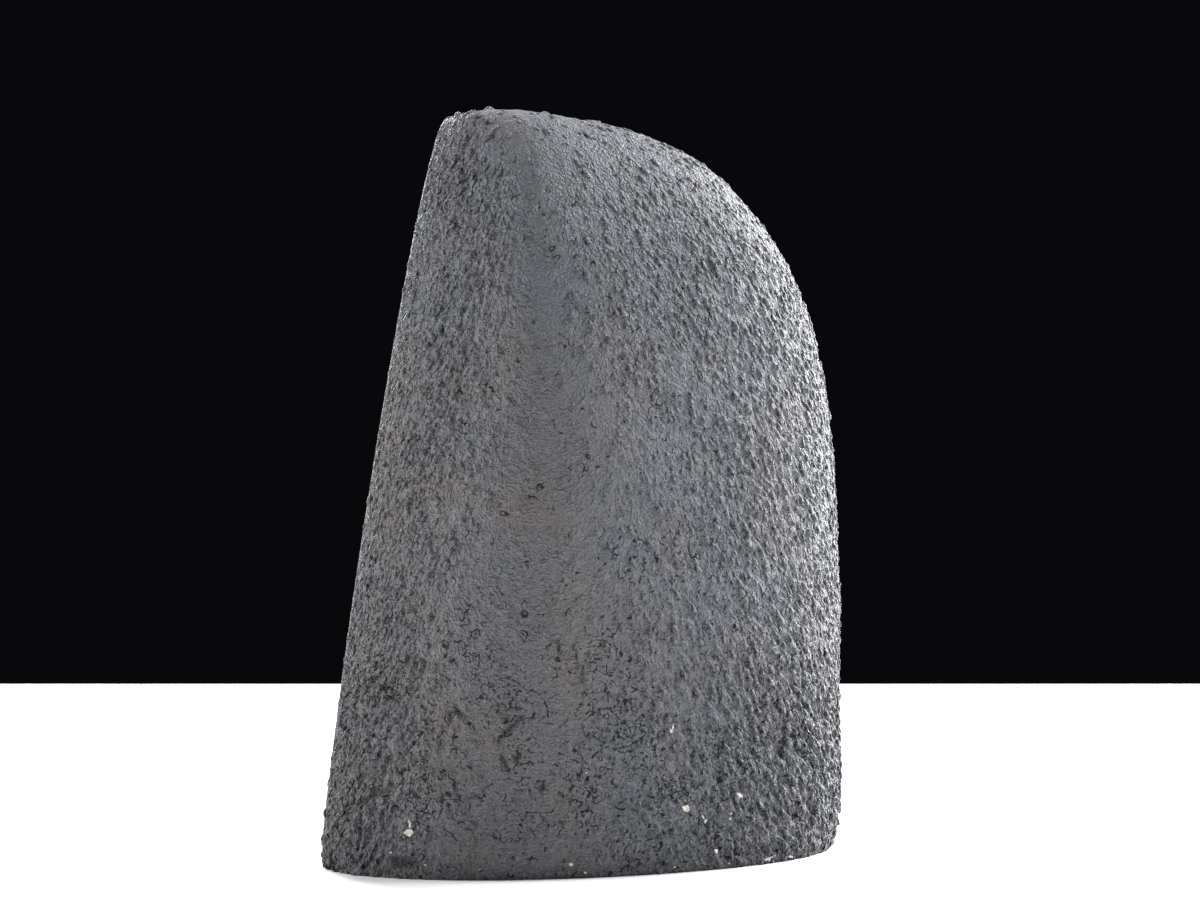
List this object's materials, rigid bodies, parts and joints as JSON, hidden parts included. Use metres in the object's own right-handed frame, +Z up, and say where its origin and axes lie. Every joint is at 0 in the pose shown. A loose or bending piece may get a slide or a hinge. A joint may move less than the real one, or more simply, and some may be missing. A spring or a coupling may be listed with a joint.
{
  "type": "amethyst geode",
  "caption": "Cut-base amethyst geode that stands upright: a painted cement coat over the back, an agate wall with a flat polished face, and a hollow lined with amethyst points.",
  "frame": {"origin": "under the middle of the bounding box, in the plane of the sawn base", "axes": "+Z up from the sawn base to the crest; -Y out of the polished face; +Y towards the coated back; +X towards the straight leaning side"},
  "size_m": [0.1534, 0.0624, 0.203],
  "materials": {
    "cement_coat": "matt grey paint over rough sanded cement",
    "agate_wall": "sawn flat and polished, banded grey to white",
    "amethyst_lining": "natural bright crystal faces, see-through purple"
  },
  "bodies": {
    "root": {"cement_coat": "cement_coat", "agate_wall": "agate_wall", "amethyst_lining": "amethyst_lining"}
  },
  "joints": []
}
